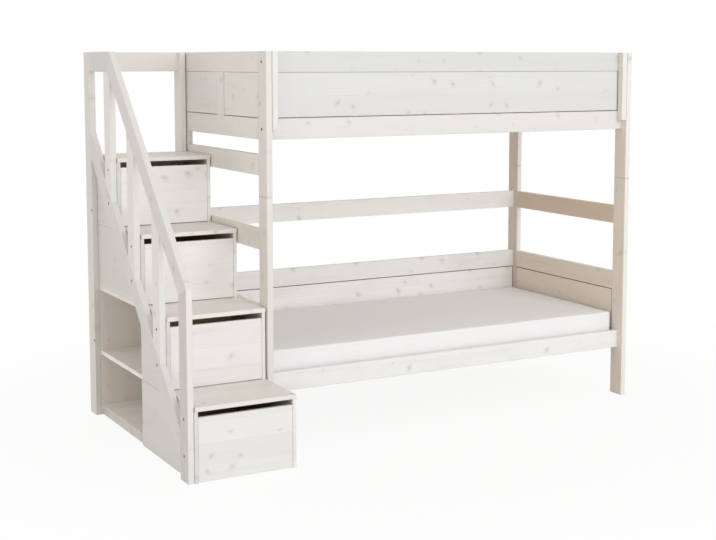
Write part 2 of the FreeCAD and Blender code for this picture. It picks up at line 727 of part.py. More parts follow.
# Bolts through the front post, the balusters and the stringer into the side panels
banister_bolt_length = board_thickness + banister_bolt_depth
for step in steps:
    middle_y = tread_front(step) + baluster_offset + post_width / 2
    for drop in (upper_bolt_drop, lower_bolt_drop):
        head_point = Vector(banister_x[0], middle_y, level_top(step) - drop)
        hole = bolt_bore(head_point, ALONG_X, banister_bolt_length)
        stair_bolts.append(bolt(head_point, ALONG_X, banister_bolt_length))
        left_sides[step] = left_sides[step].cut(hole)
        stringer = stringer.cut(hole)
        front_post = front_post.cut(hole)
        if step in balusters:
            balusters[step] = balusters[step].cut(hole)
pieces["left_side_panels"] = list(left_sides.values())
pieces["stair_post_left"] = [stair_post_left]
pieces["banister_top_rail"] = [top_rail]
pieces["handrail"] = [handrail]
pieces["stringer"] = [stringer]
pieces["banister_front_post"] = [front_post]
pieces["balusters"] = list(balusters.values())
pieces["stair_bolts"] = stair_bolts
pieces["rail_bolts"] = rail_bolts
pieces["barrel_nuts"] = barrel_nuts
pieces["dowels"] = dowels

# Drawers: an inset front with a finger gap above it, on a box that slides on the board below
front_x = (stair_inner_x[0] + front_side_play, stair_inner_x[1] - front_side_play)
box_x = (stair_inner_x[0] + box_side_play, stair_inner_x[1] - box_side_play)
box_inner_x = (box_x[0] + box_wall, box_x[1] - box_wall)
for step in steps:
    run_z = (base_thickness if step == 1 else level_top(step - 1)) + slide_gap
    front_y = tread_front(step) + tread_nosing + front_inset
    space_rear = partition_y[0] if step < 3 else carcass_rear
    box_y = (front_y + front_thickness, space_rear - box_rear_play)
    front_z = (level_top(step - 1) + front_floor_gap, level_top(step) - tread_thickness - finger_gap)
    wall_z = (run_z + box_bottom_thickness, front_z[1] - box_top_drop)
    back_wall_y = (box_y[1] - box_wall, box_y[1])
    front = block(front_x, (front_y, box_y[0]), front_z)
    bottom = block(box_x, box_y, (run_z, wall_z[0]))
    left_wall = block((box_x[0], box_inner_x[0]), box_y, wall_z)
    right_wall = block((box_inner_x[1], box_x[1]), box_y, wall_z)
    back_wall = block(box_inner_x, back_wall_y, wall_z)
    pieces["drawer_" + str(step) + "_front"] = [rounded(front, ALONG_X, front_edge_radius)]
    pieces["drawer_" + str(step) + "_box"] = [bottom, left_wall, right_wall, back_wall]

# The origin is the middle of the whole piece of furniture on the floor
left_edge = banister_x[0]
front_edge = -stair_projection
centre = Vector(-(left_edge + bed_length) / 2, -(front_edge + bed_width) / 2, 0)
os.makedirs("parts", exist_ok=True)
for name, solids in pieces.items():
    shape = solids[0] if len(solids) == 1 else Part.makeCompound(solids)
    shape.translate(centre)
    shape.exportStep("parts/" + name + ".step")
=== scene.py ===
import math

import bmesh
import bpy
from mathutils import Matrix, Vector, noise
from mathutils.bvhtree import BVHTree


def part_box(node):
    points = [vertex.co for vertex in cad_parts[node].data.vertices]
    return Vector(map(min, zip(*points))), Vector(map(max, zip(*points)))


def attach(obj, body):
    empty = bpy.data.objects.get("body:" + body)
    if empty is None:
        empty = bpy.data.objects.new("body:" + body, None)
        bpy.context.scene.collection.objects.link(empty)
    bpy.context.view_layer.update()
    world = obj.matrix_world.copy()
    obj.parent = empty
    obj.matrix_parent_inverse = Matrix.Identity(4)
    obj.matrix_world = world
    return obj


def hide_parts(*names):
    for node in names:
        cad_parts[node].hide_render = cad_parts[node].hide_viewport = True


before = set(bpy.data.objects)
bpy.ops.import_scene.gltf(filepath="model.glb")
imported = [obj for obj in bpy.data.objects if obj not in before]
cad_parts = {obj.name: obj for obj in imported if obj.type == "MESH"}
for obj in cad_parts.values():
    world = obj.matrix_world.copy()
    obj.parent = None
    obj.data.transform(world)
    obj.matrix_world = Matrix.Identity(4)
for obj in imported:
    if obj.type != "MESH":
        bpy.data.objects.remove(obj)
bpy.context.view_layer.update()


# Posts. Planed pine planks in two lengths, standing on each other on dowels, with a pale white wash
# that leaves the grain and the knots faintly visible. All pine of the bed and the stairs has this finish.
def wire(tree, node, inputs):
    for name, value in inputs.items():
        if isinstance(value, bpy.types.NodeSocket):
            tree.links.new(value, node.inputs[name])
        else:
            node.inputs[name].default_value = value


def add(tree, kind, inputs=None, **settings):
    made = tree.nodes.new(kind)
    for name, value in settings.items():
        setattr(made, name, value)
    wire(tree, made, inputs or {})
    return made


def new_tree(name, kind, inputs, outputs):
    tree = bpy.data.node_groups.new(name, kind + "NodeTree")
    keys = {}
    for way, sockets in (("INPUT", inputs), ("OUTPUT", outputs)):
        for socket, sort in sockets.items():
            made = tree.interface.new_socket(socket, in_out=way, socket_type="NodeSocket" + sort)
            keys[socket] = made.identifier
    return tree, keys


def new_material(name):
    made = bpy.data.materials.new(name)
    made.use_nodes = True
    return made, made.node_tree


def dress(tree, looks):
    wire(tree, tree.nodes["Principled BSDF"], looks)


def reckoned(tree, kind, *values):
    return add(tree, "ShaderNodeMath", dict(enumerate(values)), operation=kind).outputs[0]


def above(tree, value, limit):
    return reckoned(tree, "GREATER_THAN", value, limit)


def below(tree, value, limit):
    return reckoned(tree, "LESS_THAN", value, limit)


def overlap(tree, share, *others):
    for other in others:
        share = reckoned(tree, "MULTIPLY", share, other)
    return share


def eased(tree, value, low, high, start, end):
    places = {"Value": value, "From Min": low, "From Max": high, "To Min": start, "To Max": end}
    return add(tree, "ShaderNodeMapRange", places, interpolation_type="SMOOTHSTEP").outputs[0]


def tinted(tree, share, first, second, kind="MIX"):
    colours = {0: share, 6: first, 7: second}
    return add(tree, "ShaderNodeMix", colours, data_type="RGBA", blend_type=kind).outputs[2]


def vectors(tree, kind, *values):
    return add(tree, "ShaderNodeVectorMath", dict(enumerate(values)), operation=kind).outputs


def stretched(tree, place, along, across):
    return vectors(tree, "MULTIPLY", place, (along, across, across))[0]


def noisy(tree, place, scale, detail, output="Fac"):
    pattern = {"Vector": place, "Scale": scale, "Detail": detail}
    return add(tree, "ShaderNodeTexNoise", pattern).outputs[output]


def coordinates(tree, kind="Object"):
    return add(tree, "ShaderNodeTexCoord").outputs[kind]


def split(tree, vector):
    return add(tree, "ShaderNodeSeparateXYZ", {0: vector}).outputs


# wide boards are glued from staves, each with its own stretch of grain and its own tone
def glued_staves(tree, place, width):
    other_stretch = (2.3, 0.6, 0.5)
    glue_width = 0.0005
    stave = reckoned(tree, "DIVIDE", split(tree, place)[1], width)
    number = reckoned(tree, "FLOOR", stave)
    lot = add(tree, "ShaderNodeTexWhiteNoise", {"W": number}, noise_dimensions="1D").outputs
    moved = vectors(tree, "MULTIPLY_ADD", lot["Color"], other_stretch, place)[0]
    nearest = reckoned(tree, "ABSOLUTE", reckoned(tree, "SUBTRACT", stave, reckoned(tree, "ROUND", stave)))
    seam = below(tree, reckoned(tree, "MULTIPLY", nearest, width), glue_width)
    return moved, lot["Value"], seam


# knots go through the plank; most are small and a little drawn out, each at its own slant
def branch_knots(tree, axis, share):
    knots_per_metre = 8.5
    scatter = 0.95
    smallest, largest = 0.0050, 0.0105
    unevenness = 0.010
    widest_slant = 1.2
    flat = add(tree, "ShaderNodeCombineXYZ", {0: axis[0], 1: axis[1]}).outputs[0]
    waver = noisy(tree, flat, 38.0, 2.0, "Color")
    uneven = vectors(tree, "MULTIPLY_ADD", waver, (unevenness,) * 3, flat)[0]
    spots = {"Vector": uneven, "Scale": knots_per_metre, "Randomness": scatter}
    cells = add(tree, "ShaderNodeTexVoronoi", spots, voronoi_dimensions="2D").outputs
    chance = add(tree, "ShaderNodeSeparateColor", {0: cells["Color"]}).outputs
    away = vectors(tree, "SUBTRACT", uneven, cells["Position"])[0]
    slant = reckoned(tree, "MULTIPLY_ADD", chance[2], 2 * widest_slant, -widest_slant)
    turned = {"Vector": away, "Angle": slant}
    leaning = add(tree, "ShaderNodeVectorRotate", turned, rotation_type="Z_AXIS").outputs[0]
    reach = vectors(tree, "LENGTH", stretched(tree, leaning, 0.72, 1.1))["Value"]
    reach = reckoned(tree, "DIVIDE", reach, eased(tree, chance[1], 0.1, 1.0, smallest, largest))
    there = below(tree, chance[0], share)
    heart = overlap(tree, eased(tree, reach, 0.3, 1.25, 1.0, 0.0), there)
    shade = overlap(tree, eased(tree, reach, 0.6, 2.6, 1.0, 0.0), there)
    return heart, shade


# yearly rings round a heart that wanders below the face, so that the lines run out in long arches
def yearly_rings(tree, place, axis, shade):
    rings_per_metre = 105.0
    sideways, deeper = 0.16, 0.22
    round_knots = 0.006
    late_wood = 2.5
    wander = noisy(tree, stretched(tree, place, 1.3, 2.5), 1.0, 2.0, "Color")
    drift = add(tree, "ShaderNodeSeparateColor", {0: wander}).outputs
    side = reckoned(tree, "MULTIPLY_ADD", drift[0], sideways, axis[1])
    side = reckoned(tree, "MULTIPLY_ADD", shade, round_knots, side)
    deep = reckoned(tree, "MULTIPLY_ADD", drift[1], deeper, axis[2])
    from_heart = add(tree, "ShaderNodeCombineXYZ", {0: side, 1: deep}).outputs[0]
    radius = vectors(tree, "LENGTH", from_heart)["Value"]
    year = reckoned(tree, "FRACT", reckoned(tree, "MULTIPLY", radius, rings_per_metre))
    return reckoned(tree, "POWER", year, late_wood)


# staves, knots and rings, with fibres, broad streaks along the grain and a cloudy wash
def pine_grain():
    thin_wash = (0.72, 0.685, 0.67, 1)
    knot_rim = (0.54, 0.522, 0.50, 1)
    knot_heart = (0.30, 0.283, 0.264, 1)
    glue_line = (0.45, 0.41, 0.37, 1)
    inputs = {"Place": "Vector", "Wash": "Color", "Grain": "Color", "Knots": "Float", "Stave": "Float"}
    outputs = {"Colour": "Color", "Roughness": "Float", "Relief": "Float"}
    tree = new_tree("pine_grain", "Shader", inputs, outputs)[0]
    given = add(tree, "NodeGroupInput").outputs
    place, lot, seam = glued_staves(tree, given["Place"], given["Stave"])
    axis = split(tree, place)
    heart, shade = branch_knots(tree, axis, given["Knots"])
    late = yearly_rings(tree, place, axis, shade)
    fibre = noisy(tree, stretched(tree, place, 8.0, 300.0), 1.0, 3.0)
    streak = noisy(tree, stretched(tree, place, 1.7, 26.0), 1.0, 4.0)
    cloud = noisy(tree, place, 5.5, 3.0)

    line = overlap(tree, late, eased(tree, streak, 0.35, 0.75, 0.03, 0.18))
    tone = tinted(tree, line, given["Wash"], given["Grain"])
    tone = tinted(tree, eased(tree, streak, 0.5, 0.85, 0.0, 0.24), tone, given["Grain"])
    tone = tinted(tree, eased(tree, cloud, 0.5, 0.8, 0.0, 0.26), tone, thin_wash)
    marks = ((shade, 0.30, knot_rim), (heart, 0.31, knot_heart), (seam, 0.17, glue_line))
    for mark, strength, colour in marks:
        tone = tinted(tree, reckoned(tree, "MULTIPLY", mark, strength), tone, colour)
    bright = eased(tree, fibre, 0.25, 0.75, 0.978, 1.015)
    bright = reckoned(tree, "MULTIPLY", bright, eased(tree, lot, 0.0, 1.0, 0.965, 1.02))
    tone = add(tree, "ShaderNodeVectorMath", {0: tone, 3: bright}, operation="SCALE").outputs[0]

    rough = reckoned(tree, "MULTIPLY_ADD", fibre, 0.16, 0.40)
    rough = reckoned(tree, "MULTIPLY_ADD", late, -0.05, rough)
    relief = reckoned(tree, "MULTIPLY_ADD", late, 0.35, fibre)
    relief = reckoned(tree, "MULTIPLY_ADD", heart, -0.5, relief)
    add(tree, "NodeGroupOutput", {"Colour": tone, "Roughness": rough, "Relief": relief})
    return tree


grain_of_pine = pine_grain()
axes = {"X": Vector((1, 0, 0)), "Y": Vector((0, 1, 0)), "Z": Vector((0, 0, 1))}
wash = (0.800, 0.792, 0.775)
wash_grain = (0.640, 0.600, 0.560)
one_plank = 9.0
log_steps = ((0.731, 3.0), (0.417, 1.3), (0.253, 0.9))
half_turned = 0.5
relief_depth = 0.0006


def sawn_from(tree, along, across, start):
    turn = Matrix((along, across, along.cross(across))).to_euler("XYZ")
    turned = {"Vector": coordinates(tree), "Location": start, "Rotation": turn}
    return add(tree, "ShaderNodeMapping", turned).outputs[0]


# a band of another tone across a board, used for dark joints, for the tone of a neighbouring board, and for
# painted shade in grooves and along tight gaps
def band(axis, low, high, tone, left_of=None):
    return "XYZ".index(axis), low, high, tone, left_of


# each plank is sawn from another place of the same log, which its number gives
def pine(name, along, across, plank, colour=wash, lines=wash_grain, knots=0.5, stave=one_plank, shelf=None,
         left_tint=None, painted_shade_right_of=None, tint_below=None, bands=()):
    made, tree = new_material(name)
    start = [plank * step % length for step, length in log_steps]
    place = sawn_from(tree, along, across, start)
    facing = split(tree, coordinates(tree, "Normal"))
    if shelf:
        lying = above(tree, reckoned(tree, "ABSOLUTE", facing[2]), half_turned)
        flat = sawn_from(tree, *shelf, start)
        place = add(tree, "ShaderNodeMix", {0: lying, 4: place, 5: flat}, data_type="VECTOR").outputs[1]
    cut = {"Place": place, "Wash": (*colour, 1), "Grain": (*lines, 1), "Knots": knots, "Stave": stave}
    wood = add(tree, "ShaderNodeGroup", cut, node_tree=grain_of_pine).outputs
    tone = wood["Colour"]
    where = split(tree, coordinates(tree))
    # painted light and shade: the faces that look left (towards -X) are multiplied by a tint, below one to
    # paint shade on them and above one to paint light, kept where given to the right of an X or below a
    # height
    if left_tint:
        share = below(tree, facing[0], -half_turned)
        if painted_shade_right_of is not None:
            share = overlap(tree, share, above(tree, where[0], painted_shade_right_of))
        if tint_below is not None:
            share = overlap(tree, share, below(tree, where[2], tint_below))
        tone = tinted(tree, share, tone, (*left_tint, 1), "MULTIPLY")
    # bands of another tone: dark joints, neighbour tones, and painted shade in grooves and gaps
    for axis, low, high, band_tone_and_painted_shade, left_of in bands:
        share = overlap(tree, above(tree, where[axis], low), below(tree, where[axis], high))
        if left_of is not None:
            share = overlap(tree, share, below(tree, where[0], left_of))
        tone = tinted(tree, share, tone, (*band_tone_and_painted_shade, 1))
    pores = {"Strength": 0.35, "Distance": relief_depth, "Height": wood["Relief"]}
    bump = add(tree, "ShaderNodeBump", pores).outputs[0]
    dress(tree, {"Base Color": tone, "Roughness": wood["Roughness"], "Specular IOR Level": 0.3,
                 "Normal": bump})
    return made


def finish(node, material):
    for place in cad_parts[node].material_slots:
        place.material = material


planks_cut = 0


def wash_plank(node, along=None, across=None, **look):
    global planks_cut
    planks_cut += 1
    low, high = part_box(node)
    spans = {side: high[number] - low[number] for number, side in enumerate("XYZ")}
    longest, second = sorted(spans, key=spans.get, reverse=True)[:2]
    material = pine("washed_pine_" + node, axes[along or longest], axes[across or second], planks_cut, **look)
    finish(node, material)


cream = (0.75, 0.734, 0.698)
right_cream = (0.81, 0.80, 0.77)
right_end = 0.9
# painted shade, warm and tan, on the faces inside the right end that look into the bed; deeper on the
# rear-right posts
right_end_painted_shade = {"left_tint": (0.95, 0.885, 0.82), "painted_shade_right_of": right_end}
right_post_painted_shade = {"left_tint": (0.84, 0.745, 0.665), "painted_shade_right_of": right_end}
# painted light on the left faces of the rear-left posts, in the narrow shaded gap beside the stairs
rear_left_gap_painted_light = {"left_tint": (1.24, 1.22, 1.19)}
post_painted_light_and_shade = {"rear_right": right_post_painted_shade, "rear_left": rear_left_gap_painted_light}
joint_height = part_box("lower_post_front_left")[1][2]
half_joint = 0.0022
post_joint = (0.57, 0.54, 0.505)
joint_line = band("Z", joint_height - half_joint, joint_height + half_joint, post_joint)
# the right posts get painted shade and the rear-left posts painted light on their faces that look left; the
# joint line is a dark band
for length in ("lower_post", "upper_post"):
    for corner in ("front_left", "front_right", "rear_left", "rear_right"):
        wash_plank(length + "_" + corner, colour=right_cream if "right" in corner else cream,
                   bands=[joint_line], **post_painted_light_and_shade.get(corner, right_end_painted_shade))


# End frames. Rails tenoned between the posts, with panels in grooves; the upper ends are closed to
# the top and have a middle stile. The step rail crosses the left end at the height of the top tread.
# The faces of the right end that look into the bed have a warm painted shade; the panel edges in the grooves
# of the lower ends and a thin line along the front edge of the upper stiles have painted shade too.
panel_thickness = 0.012
groove_depth = 0.004
unshaded_skin = 0.0004
past_edge = 0.001
# painted shade: a near-black brown on the panel edges that sit deep in their grooves
groove_painted_shade = (0.16, 0.11, 0.085)
yellowed = (0.80, 0.778, 0.725)
rosy = (0.80, 0.778, 0.765)
guard_wash = (0.79, 0.764, 0.69)
# a deeper painted shade on the inner face of the right guard rail
right_guard_painted_shade = {"left_tint": (0.83, 0.715, 0.63), "painted_shade_right_of": right_end}
wash_plank("lower_end_bottom_rails", "Y", "Z", colour=yellowed, **right_end_painted_shade)
wash_plank("lower_end_panel_rails", "Y", "Z", colour=yellowed, **right_end_painted_shade)
wash_plank("lower_end_guard_rails", "Y", "Z", colour=guard_wash, **right_guard_painted_shade)
end_left, end_right = (corner[0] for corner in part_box("lower_end_panels"))
left_groove_painted_shade = band("X", end_left + unshaded_skin, end_left + panel_thickness - groove_depth, groove_painted_shade)
right_groove_painted_shade = band("X", end_right - panel_thickness + groove_depth, end_right - unshaded_skin, groove_painted_shade)
wash_plank("lower_end_panels", "Y", "Z", colour=yellowed, stave=0.105, bands=[left_groove_painted_shade, right_groove_painted_shade], **right_end_painted_shade)
# painted shadow: a thin dark line along the front edge of each upper stile's outer face, where a gap to the
# panel would be in shade
stile_left, stile_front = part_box("upper_end_stiles")[0][:2]
stile_line_width = 0.0024
stile_skin = 0.002
stile_gap_painted_shadow = (0.50, 0.42, 0.33)
stile_line = band("Y", stile_front - past_edge, stile_front + stile_line_width, stile_gap_painted_shadow,
                  stile_left + stile_skin)
wash_plank("upper_end_bottom_rails", "Y", "Z", colour=yellowed, **right_end_painted_shade)
wash_plank("upper_end_top_rails", "Y", "Z", colour=rosy, **right_end_painted_shade)
wash_plank("upper_end_stiles", "Z", "Y", colour=rosy, bands=[stile_line], **right_end_painted_shade)
wash_plank("upper_end_panels", "Y", "Z", colour=rosy, **right_end_painted_shade)
wash_plank("step_rail", colour=yellowed)


# Long sides. Planed pine rails with the same wash, bolted to the posts, with panels of glued staves in
# grooves on the rear side and in the two upper guards. Two battens cover the ends of the front guard.
rail_wash = (0.855, 0.845, 0.835)
# painted light: the rear guard rail and the rear panels get a paler wash that lifts the shade falling on them
# at the back of the bed
rear_guard_wash_painted_light = (0.895, 0.88, 0.865)
rear_panel_wash_painted_light = (0.91, 0.89, 0.878)
cool = (0.722, 0.724, 0.719)
for rail in ("lower_front_rail", "rear_bottom_rail", "rear_panel_rail", "rear_guard_rail",
             "upper_rear_bottom_rail", "upper_rear_top_rail"):
    wash_plank(rail, colour=rear_guard_wash_painted_light if rail == "rear_guard_rail" else rail_wash)
for panel in ("rear_panel", "upper_rear_panel"):
    near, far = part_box(panel)
    # painted shade on the edges of each rear panel, deep in its grooves, over the paler wash of painted light
    panel_edge_painted_shade = band("Y", near[1] + groove_depth, far[1] - unshaded_skin, groove_painted_shade)
    wash_plank(panel, knots=0.6, stave=0.1, colour=rear_panel_wash_painted_light, bands=[panel_edge_painted_shade])
wash_plank("upper_front_top_rail", colour=(0.686, 0.686, 0.678))
wash_plank("upper_front_bottom_rail", colour=(0.755, 0.735, 0.718))
wash_plank("upper_front_panel", knots=0.62, stave=0.099, colour=cool)
# painted shadow: dark lines along the outer edge of each batten, next to its post, where a gap would be in
# shade
batten_left, batten_right = (corner[0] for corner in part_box("front_battens"))
batten_line = 0.0028
batten_gap_painted_shadow = (0.50, 0.47, 0.44)
left_batten_painted_shadow = band("X", batten_left - past_edge, batten_left + batten_line, batten_gap_painted_shadow)
right_batten_painted_shadow = band("X", batten_right - batten_line, batten_right + past_edge, batten_gap_painted_shadow)
wash_plank("front_battens", "Z", "X", knots=0.2, bands=[left_batten_painted_shadow, right_batten_painted_shadow], **right_end_painted_shade)


# Slats, ledgers and dowels. Sawn pine without a wash: ledgers glued to the insides of the long rails,
# fourteen slats lying on them in each bed, and dowels in the joints.
raw = (0.80, 0.66, 0.47)
raw_grain = (0.62, 0.43, 0.25)
raw_plank = 71
for slats in ("lower_slats", "upper_slats"):
    finish(slats, pine("raw_pine_" + slats, axes["Y"], axes["X"], raw_plank, raw, raw_grain, knots=0.3))
finish("ledgers", pine("raw_pine_ledgers", axes["X"], axes["Z"], raw_plank, raw, raw_grain, knots=0.4))
finish("dowels", pine("raw_pine_dowels", axes["Z"], axes["X"], raw_plank + 1, raw, raw_grain, knots=0.0))


# Bolts and nuts. Blackened steel: hexagon socket bolts through the posts into barrel nuts in the rail
# ends, through the banister into the stair sides, and between the stairs and the bed.
def dark_steel():
    made, tree = new_material("blackened_steel")
    scale = noisy(tree, coordinates(tree), 420.0, 3.0)
    tone = tinted(tree, scale, (0.07, 0.065, 0.06, 1), (0.17, 0.16, 0.15, 1))
    dress(tree, {"Base Color": tone, "Metallic": 0.7, "Roughness": eased(tree, scale, 0.3, 0.7, 0.38, 0.6)})
    return made


bolt_steel = dark_steel()
for metal in ("rail_bolts", "stair_bolts", "barrel_nuts", "joining_hardware"):
    finish(metal, bolt_steel)


# Staircase. Treads and side boards of glued pine staves with the same wash, one pair of sides for each
# level, and a tall back panel between two rear posts. The bookcase behind the lower drawers is open to
# the left. Where a tread ends between two side boards, its end has their tone.
step_run, step_rise = 0.311625, 0.3245
side_wash = (0.69, 0.69, 0.676)
tread_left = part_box("treads")[0][0]
end_skin = 0.0015
plinth_top = 0.06
tread_ends = [band("Z", step_rise * (level - 0.2), step_rise * (level + 0.1), side_wash,
                   tread_left + end_skin) for level in (1, 3)]
wash_plank("treads", "X", "Y", colour=(0.825, 0.79, 0.765), stave=0.085, bands=tread_ends)
wash_plank("left_side_panels", "Y", "Z", colour=side_wash, stave=0.095)
# painted shade, warm, on the faces of the right stair sides that look left, into the bookcase and the drawer
# slots
wash_plank("right_side_panels", "Y", "Z", stave=0.095, left_tint=(0.98, 0.90, 0.82))
wash_plank("stair_back_panel", "Z", "X", stave=0.09, colour=(0.80, 0.755, 0.705))
wash_plank("stair_post_left", colour=(0.725, 0.713, 0.68))
wash_plank("stair_post_right", colour=(0.80, 0.78, 0.735))
wash_plank("stair_rear_rail", colour=(0.772, 0.742, 0.71))
# painted light: the bookcase boards get a very pale wash that lifts the shade inside the bookcase; painted
# shade darkens the left face of the plinth
wash_plank("bookcase_boards", "Z", "Y", stave=0.09, knots=0.62, colour=(0.93, 0.895, 0.85),
           shelf=(axes["X"], axes["Y"]), left_tint=(0.705, 0.71, 0.715), tint_below=plinth_top)


# Banister. A front post, three balusters, a sloping handrail mitred into a level top rail and a post,
# and a stringer under the balusters, all of the same plank.
slope = Vector((0, step_run, step_rise)).normalized()
sloping_wash = (0.755, 0.745, 0.732)
# painted shade on the faces of the handrail and the stringer that look left
sloping_painted_shade = (0.93, 0.92, 0.93)
# painted shade on the left face of the front post
wash_plank("banister_front_post", left_tint=(0.81, 0.79, 0.80))
wash_plank("banister_top_rail", colour=(0.665, 0.67, 0.663))
wash_plank("balusters", "Z", "Y")
for sloping in ("handrail", "stringer"):
    planks_cut += 1
    finish(sloping, pine("washed_pine_" + sloping, slope, axes["X"].cross(slope), planks_cut, sloping_wash,
                         left_tint=sloping_painted_shade))


# Drawers. Washed pine fronts that stop below the tread to leave a finger gap, on open boxes of plain
# birch plywood that run on the boards under them. The box sides are nailed to the back.
ply_thickness = 0.012
ply_floor = 0.006
veneer = 0.0015
rim_depth = 0.002
ply_sheet = 80
birch = (0.66, 0.53, 0.38)
birch_grain = (0.55, 0.41, 0.27)
dark_ply = (0.36, 0.25, 0.15, 1)


def birch_plywood(level):
    facing_up = 0.7
    sheet = ply_sheet + int(level)
    made = pine("birch_plywood_" + level, axes["Y"], axes["X"], sheet, birch, birch_grain, knots=0.0)
    tree = made.node_tree
    tone = tree.nodes["Principled BSDF"].inputs["Base Color"].links[0].from_socket
    where = split(tree, coordinates(tree))
    facing = split(tree, coordinates(tree, "Normal"))
    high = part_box("drawer_" + level + "_box")[1]
    rim = overlap(tree, above(tree, facing[2], facing_up), above(tree, where[2], high[2] - rim_depth))
    at_back = above(tree, where[1], high[1] - ply_thickness)
    at_sides = reckoned(tree, "SUBTRACT", 1.0, at_back)
    for side, board in ((0, at_sides), (1, at_back)):
        plies = reckoned(tree, "PINGPONG", reckoned(tree, "SUBTRACT", where[side], high[side]), veneer)
        tone = tinted(tree, overlap(tree, above(tree, plies, veneer / 2), rim, board), tone, dark_ply)
    dress(tree, {"Base Color": tone})
    return made


def realised(tree, shape, material, output):
    real = add(tree, "GeometryNodeRealizeInstances", {0: shape}).outputs[0]
    done = add(tree, "GeometryNodeSetMaterial", {"Geometry": real, "Material": material}).outputs[0]
    add(tree, "NodeGroupOutput", {output: done})


def nailing():
    inputs = {"Places": "Geometry", "Head radius": "Float", "Head height": "Float", "Metal": "Material"}
    tree, keys = new_tree("nails", "Geometry", inputs, {"Nails": "Geometry"})
    given = add(tree, "NodeGroupInput").outputs
    shape = {"Vertices": 10, "Radius": given["Head radius"], "Depth": given["Head height"]}
    disc = add(tree, "GeometryNodeMeshCylinder", shape).outputs["Mesh"]
    points = add(tree, "GeometryNodeMeshToPoints", {"Mesh": given["Places"]}).outputs[0]
    named = {"Name": "driven"}
    way = add(tree, "GeometryNodeInputNamedAttribute", named, data_type="FLOAT_VECTOR").outputs[0]
    turn = add(tree, "FunctionNodeAlignRotationToVector", {"Vector": way}, axis="Z").outputs[0]
    each = {"Points": points, "Instance": disc, "Rotation": turn}
    heads = add(tree, "GeometryNodeInstanceOnPoints", each).outputs[0]
    realised(tree, heads, given["Metal"], "Nails")
    return tree, keys


def placed(name, data):
    thing = bpy.data.objects.new(name, data)
    bpy.context.scene.collection.objects.link(thing)
    return thing


def settled(thing):
    whole = bpy.data.meshes.new_from_object(thing.evaluated_get(bpy.context.evaluated_depsgraph_get()))
    thing.modifiers.clear()
    thing.data = whole
    return whole


def made_by_nodes(name, mesh, tree, keys, values):
    seed = placed(name, mesh)
    steps = seed.modifiers.new("nodes", "NODES")
    steps.node_group = tree
    for socket, value in values.items():
        steps[keys[socket]] = value
    settled(seed).name = name
    return seed


# painted light: the fronts of drawers 3 and 4 get paler washes that lift the shade of the banister in front
# of them
front_washes_painted_light = {"1": wash, "2": rosy, "3": (0.82, 0.79, 0.775), "4": (0.88, 0.84, 0.825)}
nail_tree, nail_keys = nailing()
nail_head = {"Head radius": 0.0016, "Head height": 0.0006, "Metal": bolt_steel}
for level, front_wash_painted_light in front_washes_painted_light.items():
    wash_plank("drawer_" + level + "_front", knots=0.6, stave=0.092, colour=front_wash_painted_light)
    finish("drawer_" + level + "_box", birch_plywood(level))
    low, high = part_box("drawer_" + level + "_box")
    inside = high[2] - low[2] - ply_floor
    heads = [(x, high[1] - ply_thickness / 2, low[2] + ply_floor + inside * share)
             for share in (0.15, 0.5, 0.85) for x in (low[0], high[0])]
    dots = bpy.data.meshes.new("drawer_nails")
    dots.from_pydata(heads, [], [])
    driven = dots.attributes.new("driven", "FLOAT_VECTOR", "POINT")
    for point, place in enumerate(heads):
        driven.data[point].vector = (-1, 0, 0) if place[0] == low[0] else (1, 0, 0)
    nails = made_by_nodes("drawer_" + level + "_nails", dots, nail_tree, nail_keys, nail_head)
    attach(nails, "drawer_" + level)


# Mattresses. Foam in a plain white cotton cover, lying loose on the slats, with a sewn seam
# round the border just below the top.
swell = 0.005
fuller = Vector((0.0045, 0.0045, 0.0))
corner_round = 0.015
rim_round = 0.010
cover_cell = 0.02
filling_steps = 20


def cotton():
    made, tree = new_material("white_cotton")
    where = coordinates(tree)
    weave = noisy(tree, where, 700.0, 2.0)
    cloud = noisy(tree, where, 5.0, 3.0)
    tone = tinted(tree, cloud, (0.89, 0.888, 0.905, 1), (0.86, 0.855, 0.868, 1))
    tone = tinted(tree, eased(tree, weave, 0.45, 0.8, 0.0, 0.3), tone, (0.74, 0.735, 0.73, 1))
    bump = add(tree, "ShaderNodeBump", {"Strength": 0.3, "Distance": 0.0004, "Height": weave}).outputs[0]
    dress(tree, {"Base Color": tone, "Roughness": 0.85, "Specular IOR Level": 0.15, "Sheen Weight": 0.12,
                 "Normal": bump})
    return made


